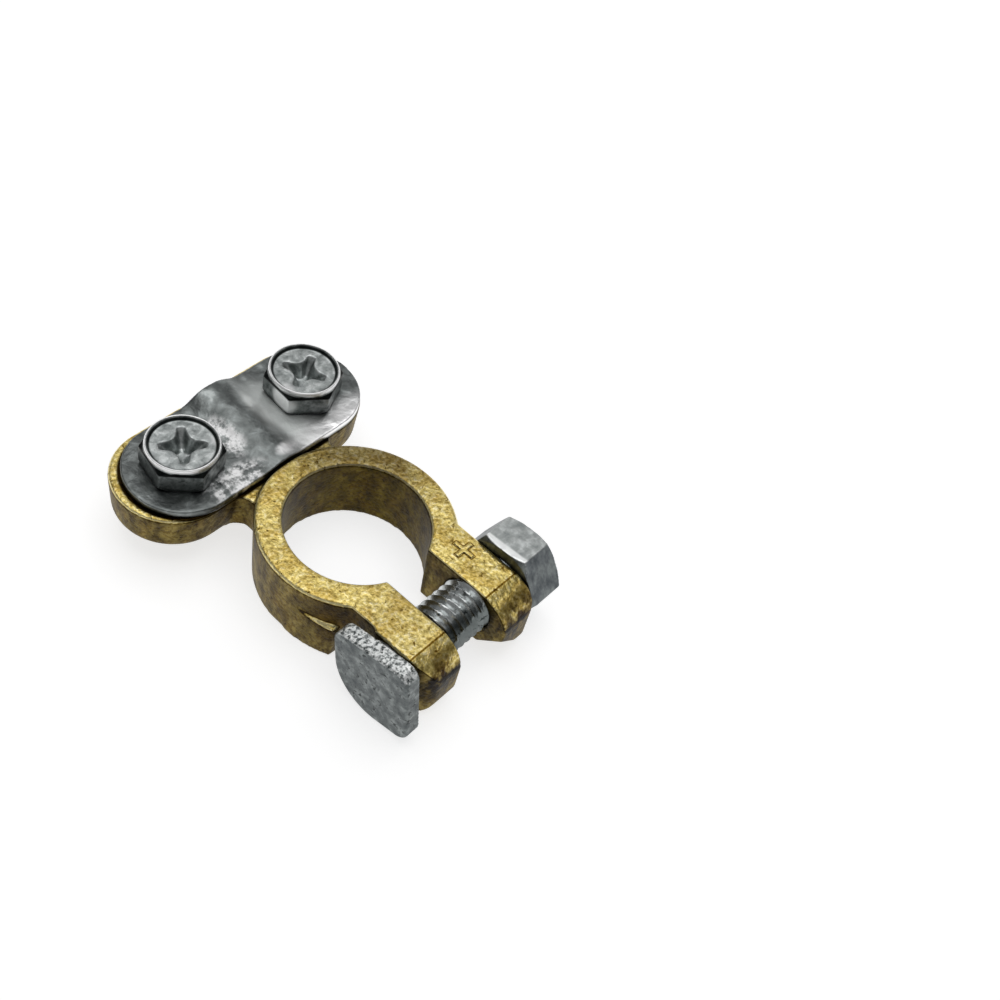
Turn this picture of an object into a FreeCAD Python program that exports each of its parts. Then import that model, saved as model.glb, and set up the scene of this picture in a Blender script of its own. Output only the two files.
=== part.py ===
import FreeCAD, Part
import math
import os

# Battery terminal clamp: a split ring that grips a tapered battery post, closed by a pinch bolt
# through two ears, with a base behind it on which a plate and two screws hold the cable.
# Origin on the bore's axis in the plane of the ring's underside.
# +X runs from the pinch bolt's head to its nut, +Y from the bore to the cable, +Z up.
# All sizes are in millimetres and angles in degrees.

V = FreeCAD.Vector

# General
edge_break = 0.3
overrun = 2.0

# Split ring
ring_height = 11.2
bore_radius_bottom = 10.6
bore_land_height = 1.2
bore_taper_on_diameter = 1.0 / 9.0
ring_radius_top = 13.92
ring_radius_bottom = 13.4
ring_edge_break = 0.4
slot_half_width = 4.0

# Ears
ear_right_x = 10.65
ear_left_x = 10.4
pad_left_x = 10.8
pad_start_y = -13.3
pad_step = 0.45
ear_root_y = -7.0
ear_ridge_y = -19.8
ear_facet_y = -21.0
ear_facet_drop = 0.5
ear_side_round = 2.7
right_front_y = -24.2
right_bow_start_y = -16.0
right_bow_radius = 80.0
right_corner_radius = 1.2
right_toe_round = 2.8
right_flank_break = 0.5
slot_foot_chamfer = 1.7
slot_toe_cut = V(4.0, -19.2, 0.5)
slot_toe_normal = V(-0.527, -0.601, -0.601)
left_front_y = -23.6
left_bow_start_y = -18.5
left_bow_radius = 6.8
left_corner_radius = 2.2
left_toe_round = 3.0
left_flank_break = 0.3

# Pinch bolt and nut
pinch_y = -17.2
pinch_depth = 4.5
pinch_shank_radius = 4.0
pinch_hole_clearance = 0.08
pinch_head_gap = 1.4
pinch_head_thickness = 2.45
pinch_head_flats = 12.7
pinch_head_turn = -11.0
pinch_head_offset_y = -0.2
pinch_head_offset_z = -0.3
pinch_head_corner_radius = 2.0
pinch_head_back_corner_radius = 7.0
pinch_shank_length = 25.0
pinch_shank_point = 0.8
nut_flats = 11.9
nut_thickness = 5.9
nut_face_radius = 6.0
nut_turn = 4.5
nut_bore_clearance = 0.05
nut_countersink = 0.35

# Locking shoulder beside the pinch bolt's head
shoulder_height = 6.0
shoulder_slope = 0.14
shoulder_face_y = -8.3
shoulder_start_out = 0.15
shoulder_start_y = -1.0
shoulder_middle_in = 0.3
shoulder_middle_y = -5.1
shoulder_tip_x = -11.95

# Cable base
hole_inset = 0.8
base_drop = 1.3
base_thickness = 5.85
base_half_spread = 11.9
base_offset_x = -0.4
base_offset_y = 0.3
base_end_radius_top = 8.6
base_end_radius_bottom = 8.2
base_under_round = 0.8
neck_half_width = 7.7
notch_bite = 0.08
cable_x = 0.3
cable_groove_radius = 7.0
cable_groove_depth = 1.5
cable_groove_inset = 1.8

# Saddle plate
plate_thickness = 1.2
plate_end_outset = 0.2
plate_ring_gap = 0.08
plate_offset_y = -0.3
plate_end_radius = 8.1
plate_hole_radius = 3.3
plate_front_hump = 0.28
plate_front_hump_half = 3.5
plate_back_hump = 1.55
plate_back_hump_half = 5.75

# Cable screws
screw_radius = 3.0
screw_hole_clearance = 0.06
screw_length = 10.0
screw_point = 0.6
screw_head_flats = 10.0
screw_head_height = 4.4
screw_rim_radius = 5.08
screw_rim_height = 0.75
screw_rim_round = 0.2
screw_corner_radius = 4.9
screw_foot_radius = 5.2
screw_dish_radius = 4.45
screw_dish_depth = 0.65
cross_half_length = 3.3
cross_tip_half_width = 0.5
cross_web = V(1.75, 0.8, 0)
cross_corner = 1.2
cross_depth = 2.3
cross_bottom_ratio = 0.36
left_hexagon_turn = 17.0
left_cross_turn = 54.0
right_hexagon_turn = 25.0
right_cross_turn = 25.0

pinch_z = ring_height - pinch_depth
pinch_head_inner_x = -pad_left_x - pinch_head_gap
shoulder_start = V(-ring_radius_bottom - shoulder_start_out, shoulder_start_y, 0)
shoulder_middle = V(-ring_radius_bottom + shoulder_middle_in, shoulder_middle_y, 0)
plate_front_y = ring_radius_top + plate_ring_gap
plate_y = plate_front_y + plate_end_radius
plate_back_y = plate_y + plate_end_radius
base_y = plate_y - plate_offset_y
base_centre_y = base_y + base_offset_y
base_top_z = ring_height - base_drop
base_bottom_z = base_top_z - base_thickness
plate_bottom_z = base_top_z
plate_top_z = plate_bottom_z + plate_thickness
hole_spread = base_half_spread - hole_inset
plate_half_spread = hole_spread + plate_end_outset
cable_groove_start_y = plate_front_y + cable_groove_inset


def polar(centre, radius, angle):
    """Point at an angle in degrees on a horizontal circle."""
    turn = math.radians(angle)
    return centre + V(radius * math.cos(turn), radius * math.sin(turn), 0)


def line(start, end):
    return Part.LineSegment(start, end).toShape()


def arc(start, middle, end):
    return Part.Arc(start, middle, end).toShape()


def polygon_face(points):
    return Part.Face(Part.makePolygon(points + [points[0]]))


def turned(points, axis_point, axis_direction):
    """Solid of revolution of a closed outline."""
    return polygon_face(points).revolve(axis_point, axis_direction, 360)


def radius_at(bottom_radius, top_radius, height, z):
    return bottom_radius + (top_radius - bottom_radius) * z / height


def ring_radius_at(z):
    return radius_at(ring_radius_bottom, ring_radius_top, ring_height, z)


def bore_radius_at(z):
    """Bore's wall: straight at its foot, tapered above."""
    return bore_radius_bottom - max(0, z - bore_land_height) * bore_taper_on_diameter / 2


def base_radius_at(z):
    rise = z - base_bottom_z
    return radius_at(base_end_radius_bottom, base_end_radius_top, base_top_z - base_bottom_z, rise)


def mirrored_x(point):
    return V(-point.x, point.y, point.z)


def ring_blank():
    """Drafted outer wall of the ring, with its top edge broken."""
    rim_z = ring_height - ring_edge_break
    outline = [
        V(0, 0, 0),
        V(ring_radius_at(0), 0, 0),
        V(ring_radius_at(rim_z), 0, rim_z),
        V(ring_radius_top - ring_edge_break, 0, ring_height),
        V(0, 0, ring_height),
    ]
    return turned(outline, V(0, 0, 0), V(0, 0, 1))


def bore_tool():
    """Post bore: a straight land at the foot, a narrowing taper above it and a broken top edge."""
    rim_z = ring_height - edge_break
    rim_radius = bore_radius_at(rim_z)
    outline = [
        V(0, 0, -overrun),
        V(bore_radius_bottom, 0, -overrun),
        V(bore_radius_bottom, 0, bore_land_height),
        V(rim_radius, 0, rim_z),
        V(rim_radius + edge_break, 0, ring_height),
        V(rim_radius + edge_break, 0, ring_height + overrun),
        V(0, 0, ring_height + overrun),
    ]
    return turned(outline, V(0, 0, 0), V(0, 0, 1))


def ear_plan(side_x, front_y, bow_start_y, bow_radius, corner_radius):
    """Plan of an ear on the +X side: straight flank, bowed flank, rounded corner, front."""
    bow_centre = V(side_x - bow_radius, bow_start_y, 0)
    reach = bow_radius - corner_radius
    corner_y = front_y + corner_radius
    corner_angle = math.degrees(math.asin((corner_y - bow_start_y) / reach))
    corner_centre = polar(bow_centre, reach, corner_angle)
    bow_start = V(side_x, bow_start_y, 0)
    bow_middle = polar(bow_centre, bow_radius, corner_angle / 2)
    bow_end = polar(bow_centre, bow_radius, corner_angle)
    corner_middle = polar(corner_centre, corner_radius, (corner_angle - 90) / 2)
    corner_end = V(corner_centre.x, front_y, 0)
    root = V(side_x, ear_root_y, 0)
    edges = [
        line(root, bow_start),
        arc(bow_start, bow_middle, bow_end),
        arc(bow_end, corner_middle, corner_end),
        line(corner_end, V(0, front_y, 0)),
        line(V(0, front_y, 0), V(0, ear_root_y, 0)),
        line(V(0, ear_root_y, 0), root),
    ]
    return Part.Face(Part.Wire(edges)).extrude(V(0, 0, ring_height))


def ear_profile(front_y, toe_round):
    """Side outline of an ear: ridge, facet, round front about the pinch bolt, rounded toe."""
    facet_z = ring_height - ear_facet_drop
    half_chord = (facet_z - pinch_z) / 2
    step = ear_facet_y - front_y
    front_round = (step ** 2 + 4 * half_chord ** 2) / (2 * step)
    centre_y = front_y + front_round
    middle_angle = math.pi - math.asin((facet_z - pinch_z) / front_round) / 2
    middle_y = centre_y + front_round * math.cos(middle_angle)
    middle_z = pinch_z + front_round * math.sin(middle_angle)
    toe_bend = toe_round * (1 - math.sqrt(0.5))
    root_top = V(0, ear_root_y, ring_height)
    ridge = V(0, ear_ridge_y, ring_height)
    facet = V(0, ear_facet_y, facet_z)
    front = V(0, front_y, pinch_z)
    toe_start = V(0, front_y, toe_round)
    toe_end = V(0, front_y + toe_round, 0)
    root_bottom = V(0, ear_root_y, 0)
    edges = [
        line(root_top, ridge),
        line(ridge, facet),
        arc(facet, V(0, middle_y, middle_z), front),
        line(front, toe_start),
        arc(toe_start, V(0, front_y + toe_bend, toe_bend), toe_end),
        line(toe_end, root_bottom),
        line(root_bottom, root_top),
    ]
    return Part.Face(Part.Wire(edges)).extrude(V(pad_left_x, 0, 0))


def ear_section(side_x, flank_break):
    """Front outline of an ear: broken top edge and rounded foot on its outer side."""
    start_y = right_front_y - overrun
    bend = ear_side_round * (1 - math.sqrt(0.5))
    foot_start = V(side_x, start_y, ear_side_round)
    foot_end = V(side_x - ear_side_round, start_y, 0)
    points = [
        foot_end,
        V(0, start_y, 0),
        V(0, start_y, ring_height),
        V(side_x - flank_break, start_y, ring_height),
        V(side_x, start_y, ring_height - flank_break),
        foot_start,
    ]
    edges = [line(p, q) for p, q in zip(points, points[1:])]
    edges.append(arc(foot_start, V(side_x - bend, start_y, bend), foot_end))
    return Part.Face(Part.Wire(edges)).extrude(V(0, ear_root_y - start_y, 0))


def slot_toe():
    """Block that cuts the right ear's lower front corner away on the slot's side."""
    reach = ring_height
    block = Part.makeBox(2 * reach, 2 * reach, reach, V(-reach, -reach, 0))
    tilt = FreeCAD.Rotation(V(0, 0, 1), slot_toe_normal)
    block.Placement = FreeCAD.Placement(slot_toe_cut, tilt).multiply(block.Placement)
    return block


def ears():
    """Both ears: the right one straight, the left one with a raised pad under the bolt's head."""
    right = ear_plan(
        ear_right_x, right_front_y, right_bow_start_y, right_bow_radius, right_corner_radius
    )
    right = right.common(ear_profile(right_front_y, right_toe_round))
    right = right.common(ear_section(ear_right_x, right_flank_break)).cut(slot_toe())
    left = ear_plan(pad_left_x, left_front_y, left_bow_start_y, left_bow_radius, left_corner_radius)
    left = left.common(ear_profile(left_front_y, left_toe_round))
    left = left.common(ear_section(pad_left_x, left_flank_break))
    pad_rise = pad_left_x - ear_left_x
    relief = polygon_face([
        V(ear_left_x, ear_root_y, 0),
        V(ear_left_x + 2 * pad_rise, ear_root_y, 0),
        V(ear_left_x + 2 * pad_rise, pad_start_y - 2 * pad_step, 0),
        V(ear_left_x, pad_start_y, 0),
    ])
    left = left.cut(relief.extrude(V(0, 0, ring_height)))
    return [right, left.mirror(V(0, 0, 0), V(1, 0, 0))]


def shoulder():
    """Low block outside the ring, sloping down to the end face beside the pinch bolt's head."""
    tip = V(shoulder_tip_x, shoulder_face_y, 0)
    inner_x = -(bore_radius_bottom - overrun)
    edges = [
        arc(shoulder_start, shoulder_middle, tip),
        line(tip, V(inner_x, shoulder_face_y, 0)),
        line(V(inner_x, shoulder_face_y, 0), V(inner_x, shoulder_start.y, 0)),
        line(V(inner_x, shoulder_start.y, 0), shoulder_start),
    ]
    block = Part.Face(Part.Wire(edges)).extrude(V(0, 0, ring_height))
    start_height = shoulder_height + shoulder_slope * (shoulder_start.y - shoulder_face_y)
    side = polygon_face([
        V(shoulder_start.x - overrun, shoulder_face_y, 0),
        V(shoulder_start.x - overrun, shoulder_face_y, shoulder_height),
        V(shoulder_start.x - overrun, shoulder_start.y, start_height),
        V(shoulder_start.x - overrun, shoulder_start.y, 0),
    ])
    return block.common(side.extrude(V(-shoulder_start.x, 0, 0)))


def oblong_wire(radius, z):
    """Plate's outline with a round end about each screw."""
    right = V(plate_half_spread, plate_y, z)
    left = V(-plate_half_spread, plate_y, z)
    edges = [
        arc(polar(right, radius, -90), polar(right, radius, 0), polar(right, radius, 90)),
        line(polar(right, radius, 90), polar(left, radius, 90)),
        arc(polar(left, radius, 90), polar(left, radius, 180), polar(left, radius, 270)),
        line(polar(left, radius, 270), polar(right, radius, -90)),
    ]
    return Part.Wire(edges)


def base_flank(side):
    """Base's section from its underside up to its top, on one side of the screw axis.

    The lower edge is rounded in two equal steps of a quarter turn.
    """
    wall_z = base_bottom_z + base_under_round
    rim_z = base_top_z - edge_break
    wall = base_radius_at(wall_z)
    points = []
    for step in range(3):
        turn = math.radians(45 * step)
        out = wall - base_under_round * (1 - math.sin(turn))
        points.append((out, base_bottom_z + base_under_round * (1 - math.cos(turn))))
    points.append((base_radius_at(rim_z), rim_z))
    points.append((base_end_radius_top - edge_break, base_top_z))
    return [V(base_half_spread, side * out, z) for out, z in points]


def base():
    """Drafted oblong base with a rounded lower edge: a straight run between two half rounds."""
    back = base_flank(1)
    front = base_flank(-1)
    middle = polygon_face(back + front[::-1]).extrude(V(-2 * base_half_spread, 0, 0))
    axis_top = V(base_half_spread, 0, base_top_z)
    axis_bottom = V(base_half_spread, 0, base_bottom_z)
    half_section = polygon_face(back + [axis_top, axis_bottom])
    right = half_section.revolve(axis_bottom, V(0, 0, 1), -180)
    left = right.mirror(V(0, 0, 0), V(1, 0, 0))
    oblong = middle.fuse([right, left]).removeSplitter()
    oblong.translate(V(base_offset_x, base_centre_y, 0))
    return oblong


def notch(z):
    """Hollow corner between ring and base on the +X side: an arc that runs a little into both walls.

    Its centre lies beside the neck, so that the arc also touches the neck's half width.
    """
    ring = ring_radius_at(z) - notch_bite
    front = base_centre_y - base_radius_at(z) + notch_bite
    half_b = neck_half_width - front - ring
    constant = neck_half_width ** 2 + front ** 2 - ring ** 2
    radius = -half_b - math.sqrt(half_b ** 2 - constant)
    centre = V(neck_half_width + radius, front - radius, z)
    on_ring_angle = math.degrees(math.atan2(-centre.y, -centre.x))
    on_ring = polar(centre, radius, on_ring_angle)
    middle = polar(centre, radius, 180)
    on_base = polar(centre, radius, 90)
    return on_ring, middle, on_base


def neck_wire(z):
    on_ring, middle, on_base = notch(z)
    inside_ring = V(on_ring.x - overrun / 2, on_ring.y - overrun / 2, z)
    inside_base = V(on_base.x, base_y - hole_spread / 3, z)
    edges = [
        line(mirrored_x(inside_ring), inside_ring),
        line(inside_ring, on_ring),
        arc(on_ring, middle, on_base),
        line(on_base, inside_base),
        line(inside_base, mirrored_x(inside_base)),
        line(mirrored_x(inside_base), mirrored_x(on_base)),
        arc(mirrored_x(on_base), mirrored_x(middle), mirrored_x(on_ring)),
        line(mirrored_x(on_ring), mirrored_x(inside_ring)),
    ]
    return Part.Wire(edges)


def neck():
    """Web that joins the ring to the base, with its outline taken at the web's underside."""
    return Part.Face(neck_wire(base_bottom_z)).extrude(V(0, 0, base_thickness))


def cylinder_x(radius, start_x, end_x):
    return Part.makeCylinder(radius, end_x - start_x, V(start_x, pinch_y, pinch_z), V(1, 0, 0))


def clamp_body():
    blank = ring_blank().fuse(ears() + [shoulder(), neck(), base()]).removeSplitter()
    half_slot = slot_half_width
    slot = Part.makeBox(
        2 * half_slot,
        -right_front_y + overrun,
        ring_height + 2 * overrun,
        V(-half_slot, right_front_y - overrun, -overrun),
    )
    wedge = polygon_face([
        V(half_slot - overrun, right_front_y - overrun, slot_foot_chamfer + overrun),
        V(half_slot - overrun, right_front_y - overrun, -overrun),
        V(half_slot + slot_foot_chamfer + overrun, right_front_y - overrun, -overrun),
    ])
    slot_foot = wedge.extrude(V(0, ear_root_y - right_front_y + overrun, 0))
    pinch_hole = cylinder_x(
        pinch_shank_radius + pinch_hole_clearance,
        -pad_left_x - overrun,
        pad_left_x + overrun,
    )
    screw_holes = [
        Part.makeCylinder(screw_radius + screw_hole_clearance, ring_height, V(x, base_y, 0))
        for x in (-hole_spread, hole_spread)
    ]
    groove = Part.makeCylinder(
        cable_groove_radius,
        plate_back_y,
        V(cable_x, cable_groove_start_y, base_top_z - cable_groove_depth + cable_groove_radius),
        V(0, 1, 0),
    )
    return blank.cut([bore_tool(), slot, slot_foot, pinch_hole, groove] + screw_holes)


def hump_wire(y, height, half_width):
    """Cross-section of the plate's hump at one place along the cable: two foot arcs and a crown."""
    low = plate_bottom_z
    bend = (half_width ** 2 + height ** 2) / (4 * height)
    spread = math.atan2(half_width / 2, bend - height / 2)

    def foot_point(side, radius, turn):
        out = half_width - radius * math.sin(turn)
        return V(cable_x + side * out, y, low + bend - radius * math.cos(turn))

    def crown_point(radius, turn):
        rise = height - bend + radius * math.cos(turn)
        return V(cable_x + radius * math.sin(turn), y, low + rise)

    def skin(offset):
        """Foot arc, crown arc and foot arc from -X to +X, on one face of the sheet."""
        foot = bend - offset
        crown = bend + offset
        left = crown_point(crown, -spread)
        right = crown_point(crown, spread)
        return [
            arc(foot_point(-1, foot, 0), foot_point(-1, foot, spread / 2), left),
            arc(left, crown_point(crown, 0), right),
            arc(right, foot_point(1, foot, spread / 2), foot_point(1, foot, 0)),
        ]

    right_end = line(foot_point(1, bend, 0), foot_point(1, bend - plate_thickness, 0))
    left_end = line(foot_point(-1, bend - plate_thickness, 0), foot_point(-1, bend, 0))
    return Part.Wire(skin(0) + [right_end] + skin(plate_thickness)[::-1] + [left_end])


def saddle_plate():
    """Oblong sheet whose hump over the cable grows towards the back edge."""
    front_y = plate_front_y - overrun
    front = hump_wire(front_y, plate_front_hump, plate_front_hump_half)
    back = hump_wire(plate_back_y, plate_back_hump, plate_back_hump_half)
    hump = Part.makeLoft([front, back], True, True)
    footprint = polygon_face([
        V(cable_x - plate_front_hump_half, front_y, plate_bottom_z),
        V(cable_x + plate_front_hump_half, front_y, plate_bottom_z),
        V(cable_x + plate_back_hump_half, plate_back_y, plate_bottom_z),
        V(cable_x - plate_back_hump_half, plate_back_y, plate_bottom_z),
    ])
    thickness = V(0, 0, plate_thickness)
    flats = Part.Face(oblong_wire(plate_end_radius, plate_bottom_z)).extrude(thickness)
    flats = flats.cut(footprint.extrude(thickness))
    trim = Part.Face(oblong_wire(plate_end_radius, plate_bottom_z - overrun))
    plate = flats.fuse(hump.common(trim.extrude(V(0, 0, 4 * overrun)))).removeSplitter()
    for x in (-hole_spread, hole_spread):
        plate = plate.cut(Part.makeCylinder(plate_hole_radius, 4 * overrun, V(x, base_y, base_bottom_z)))
    return plate


def cross_outline(scale, turn, z):
    """Four-armed star with blunt tips and webbed corners between the arms."""
    web = cross_web
    arm = [
        (cross_corner, -cross_corner),
        (web.x, -web.y),
        (cross_half_length, -cross_tip_half_width),
        (cross_half_length, cross_tip_half_width),
        (web.x, web.y),
    ]
    points = []
    for quarter in range(4):
        angle = math.radians(turn + 90 * quarter)
        for x, y in arm:
            across = scale * (x * math.cos(angle) - y * math.sin(angle))
            along = scale * (x * math.sin(angle) + y * math.cos(angle))
            points.append(V(across, along, z))
    return Part.makePolygon(points + [points[0]])


def cross_recess(turn):
    """Cross-shaped driving recess that narrows evenly towards its bottom."""
    floor_z = screw_head_height - screw_dish_depth
    growth = (1 - cross_bottom_ratio) * screw_dish_depth / cross_depth
    mouth = cross_outline(1 + growth, turn, screw_head_height)
    bottom = cross_outline(cross_bottom_ratio, turn, floor_z - cross_depth)
    return Part.makeLoft([bottom, mouth], True, True)


def hexagon(flats, turn):
    corner = flats / 2 / math.cos(math.pi / 6)
    return [polar(V(0, 0, 0), corner, turn + 60 * i) for i in range(6)]


def cable_screw(centre_x, hexagon_turn, cross_turn):
    """Hexagon-head screw under a round dished rim, drawn about its own axis from under the head."""
    head_top = screw_head_height
    rim_z = head_top - screw_rim_height
    corner = screw_head_flats / 2 / math.cos(math.pi / 6)
    fall = (corner - screw_corner_radius) * math.tan(math.radians(30))
    outline = [
        V(0, 0, 0),
        V(screw_foot_radius, 0, 0),
        V(corner, 0, corner - screw_foot_radius),
        V(corner, 0, rim_z - fall),
        V(screw_corner_radius, 0, rim_z),
        V(0, 0, rim_z),
    ]
    rim = turned(
        [
            V(0, 0, rim_z),
            V(screw_rim_radius, 0, rim_z),
            V(screw_rim_radius, 0, head_top - screw_rim_round),
            V(screw_rim_radius - screw_rim_round, 0, head_top),
            V(screw_dish_radius, 0, head_top - screw_dish_depth),
            V(0, 0, head_top - screw_dish_depth),
        ],
        V(0, 0, 0),
        V(0, 0, 1),
    )
    envelope = turned(outline, V(0, 0, 0), V(0, 0, 1))
    prism = polygon_face(hexagon(screw_head_flats, hexagon_turn)).extrude(V(0, 0, head_top))
    head = envelope.common(prism).fuse(rim).cut(cross_recess(cross_turn))
    shank = turned(
        [
            V(0, 0, edge_break),
            V(0, 0, -screw_length),
            V(screw_radius - screw_point, 0, -screw_length),
            V(screw_radius, 0, screw_point - screw_length),
            V(screw_radius, 0, edge_break),
        ],
        V(0, 0, 0),
        V(0, 0, 1),
    )
    screw = head.fuse(shank).removeSplitter()
    screw.translate(V(centre_x, base_y, plate_top_z))
    return screw


def pinch_head():
    """Square head with rounded corners, the lower back one rounded most."""
    outer_x = pinch_head_inner_x - pinch_head_thickness
    half = pinch_head_flats / 2
    small = pinch_head_corner_radius
    corners = [(1, 1, small), (-1, 1, small), (-1, -1, small), (1, -1, pinch_head_back_corner_radius)]
    bends = []
    for quarter, (side_y, side_z, radius) in enumerate(corners):
        bend = []
        for step in range(3):
            turn = math.radians(90 * quarter + 45 * step)
            out_y = side_y * (half - radius) + radius * math.cos(turn)
            out_z = side_z * (half - radius) + radius * math.sin(turn)
            bend.append(V(outer_x, out_y, out_z))
        bends.append(bend)
    edges = []
    for bend, following in zip(bends, bends[1:] + bends[:1]):
        edges.append(arc(*bend))
        edges.append(line(bend[-1], following[0]))
    head = Part.Face(Part.Wire(edges)).extrude(V(pinch_head_thickness, 0, 0))
    rim = [e for e in head.Edges if e.BoundBox.XMax < outer_x + edge_break / 10]
    head = head.makeChamfer(edge_break, rim)
    head.rotate(V(0, 0, 0), V(1, 0, 0), pinch_head_turn)
    head.translate(V(0, pinch_y + pinch_head_offset_y, pinch_z + pinch_head_offset_z))
    return head


def pinch_bolt():
    end_x = pinch_head_inner_x + pinch_shank_length
    shank = turned(
        [
            V(pinch_head_inner_x - edge_break, pinch_y, pinch_z),
            V(pinch_head_inner_x - edge_break, pinch_y, pinch_z + pinch_shank_radius),
            V(end_x - pinch_shank_point, pinch_y, pinch_z + pinch_shank_radius),
            V(end_x, pinch_y, pinch_z + pinch_shank_radius - pinch_shank_point),
            V(end_x, pinch_y, pinch_z),
        ],
        V(0, pinch_y, pinch_z),
        V(1, 0, 0),
    )
    return pinch_head().fuse(shank).removeSplitter()


def pinch_nut():
    """Hexagon nut with both faces chamfered round, bearing on the right ear."""
    start_x = ear_right_x
    end_x = start_x + nut_thickness
    corner = nut_flats / 2 / math.cos(math.pi / 6)
    fall = (corner - nut_face_radius) * math.tan(math.radians(30))
    bore = pinch_shank_radius + nut_bore_clearance
    axis = V(0, pinch_y, pinch_z)
    envelope = turned(
        [
            V(start_x, pinch_y, pinch_z + bore),
            V(start_x, pinch_y, pinch_z + nut_face_radius),
            V(start_x + fall, pinch_y, pinch_z + corner),
            V(end_x - fall, pinch_y, pinch_z + corner),
            V(end_x, pinch_y, pinch_z + nut_face_radius),
            V(end_x, pinch_y, pinch_z + bore + nut_countersink),
            V(end_x - nut_countersink, pinch_y, pinch_z + bore),
        ],
        axis,
        V(1, 0, 0),
    )
    outline = []
    for index in range(6):
        turn = math.radians(nut_turn + 60 * index)
        outline.append(V(start_x, pinch_y - corner * math.cos(turn), pinch_z + corner * math.sin(turn)))
    return envelope.common(polygon_face(outline).extrude(V(nut_thickness, 0, 0)))


os.makedirs("parts", exist_ok=True)
clamp_body().exportStep("parts/clamp_body.step")
saddle_plate().exportStep("parts/saddle_plate.step")
cable_screw(-hole_spread, left_hexagon_turn, left_cross_turn).exportStep("parts/cable_screw_left.step")
cable_screw(hole_spread, right_hexagon_turn, right_cross_turn).exportStep("parts/cable_screw_right.step")
pinch_bolt().exportStep("parts/pinch_bolt.step")
pinch_nut().exportStep("parts/pinch_nut.step")
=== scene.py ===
import math

import bpy
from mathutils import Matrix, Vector


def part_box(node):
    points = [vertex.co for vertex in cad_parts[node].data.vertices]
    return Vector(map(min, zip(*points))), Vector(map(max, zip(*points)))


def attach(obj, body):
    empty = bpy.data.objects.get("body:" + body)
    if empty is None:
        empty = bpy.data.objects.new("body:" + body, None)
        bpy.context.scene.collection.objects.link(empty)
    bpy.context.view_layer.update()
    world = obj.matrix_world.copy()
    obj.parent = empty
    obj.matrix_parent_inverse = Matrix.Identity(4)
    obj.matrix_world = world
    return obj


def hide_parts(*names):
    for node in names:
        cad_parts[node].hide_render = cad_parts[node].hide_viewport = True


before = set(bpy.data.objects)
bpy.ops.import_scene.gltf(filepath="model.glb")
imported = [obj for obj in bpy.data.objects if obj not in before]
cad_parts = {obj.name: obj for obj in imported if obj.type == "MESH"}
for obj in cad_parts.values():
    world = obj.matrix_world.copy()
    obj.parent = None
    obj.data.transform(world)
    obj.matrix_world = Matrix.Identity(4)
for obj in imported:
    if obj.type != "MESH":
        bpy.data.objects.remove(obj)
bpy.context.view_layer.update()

MM = 0.001


def middle_of(name):
    """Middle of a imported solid's box, in millimetres."""
    low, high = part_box(name)
    return (low + high) / 2 / MM


# Places and sizes that the pieces share, in millimetres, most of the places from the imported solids.
SCREW_AXES = {"left": middle_of("cable_screw_left"), "right": middle_of("cable_screw_right")}
SCREW_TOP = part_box("cable_screw_left")[1].z / MM
SCREW_HEAD_HEIGHT = 4.4
SCREW_HALF_FLATS = 5.0
SCREW_RIM_HEIGHT = 0.75
SCREW_DISH_RADIUS = 4.6
SCREW_THREAD_RADIUS = 3.0
SCREW_THREAD_LENGTH = 9.9
SCREW_THREAD_POINT = 0.6
SCREW_PITCH = 1.0
RUBBED_RECESS_RADIUS = 3.8
RUBBED_RECESS_DEPTH = 3.0
# The plate stays plain under a screw's head, and its dents fade in beside it.
SCREW_SEAT_RADIUS = 5.6
SCREW_SEAT_FADE = 1.5
PLATE_TOP = SCREW_TOP - SCREW_HEAD_HEIGHT
# Centre of the plate's right end, just off its screw's axis.
PLATE_END = (SCREW_AXES["right"].x + 0.2, SCREW_AXES["right"].y - 0.3)
PLATE_END_RADIUS = 8.1
RING_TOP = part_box("clamp_body")[1].z / MM
BASE_BELOW_RING = 1.3
BASE_TOP = RING_TOP - BASE_BELOW_RING
FOOT_EDGE_HEIGHT = 0.9
DRESSED_TOP_DEPTH = 0.8
# A little more than the bore's radius, so that the bore's wall lies within it.
BORE_WALL_RADIUS = 11.2
BOLT_AXIS = middle_of("pinch_nut")
BOLT_HEAD_THICKNESS = 2.45
BOLT_HEAD_INNER_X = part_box("pinch_bolt")[0].x / MM + BOLT_HEAD_THICKNESS
BOLT_THREAD_RADIUS = 4.0
BOLT_THREAD_LENGTH = 24.9
BOLT_THREAD_POINT = 0.8
BOLT_PITCH = 1.25
NUT_INNER_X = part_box("pinch_nut")[0].x / MM
# The ridge across the ears' tops runs in front of the bolt's axis.
EAR_RIDGE_Y = BOLT_AXIS.y - 2.6
EAR_MIDDLE_X = 7.4
# Middle of the plus, on the right ear.
PLUS_MARK_AT = (BOLT_AXIS.x - 6.0, BOLT_AXIS.y + 4.6)
PLUS_ARM_X = 3.0
PLUS_ARM_Y = 3.3
PLUS_ARM_WIDTH = 0.6
PLUS_HEIGHT = 0.4

# A thread's crest and flank are shares of half its pitch, and its root's depth is a share of the pitch.
THREAD_CREST = 0.16
THREAD_FLANK = 0.66
THREAD_ROOT_DEPTH = 0.61
THREAD_PLAIN_START = 0.2
THREAD_SIDES = 40
THREAD_STEPS_PER_TURN = 10
# What stays of the plain shank on a cut head, and where the threaded rod starts on it.
SHANK_STUB = 0.4
ROD_START = 0.1

# A reach up and down so long that height hardly counts.
ANY_HEIGHT = 60

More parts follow.
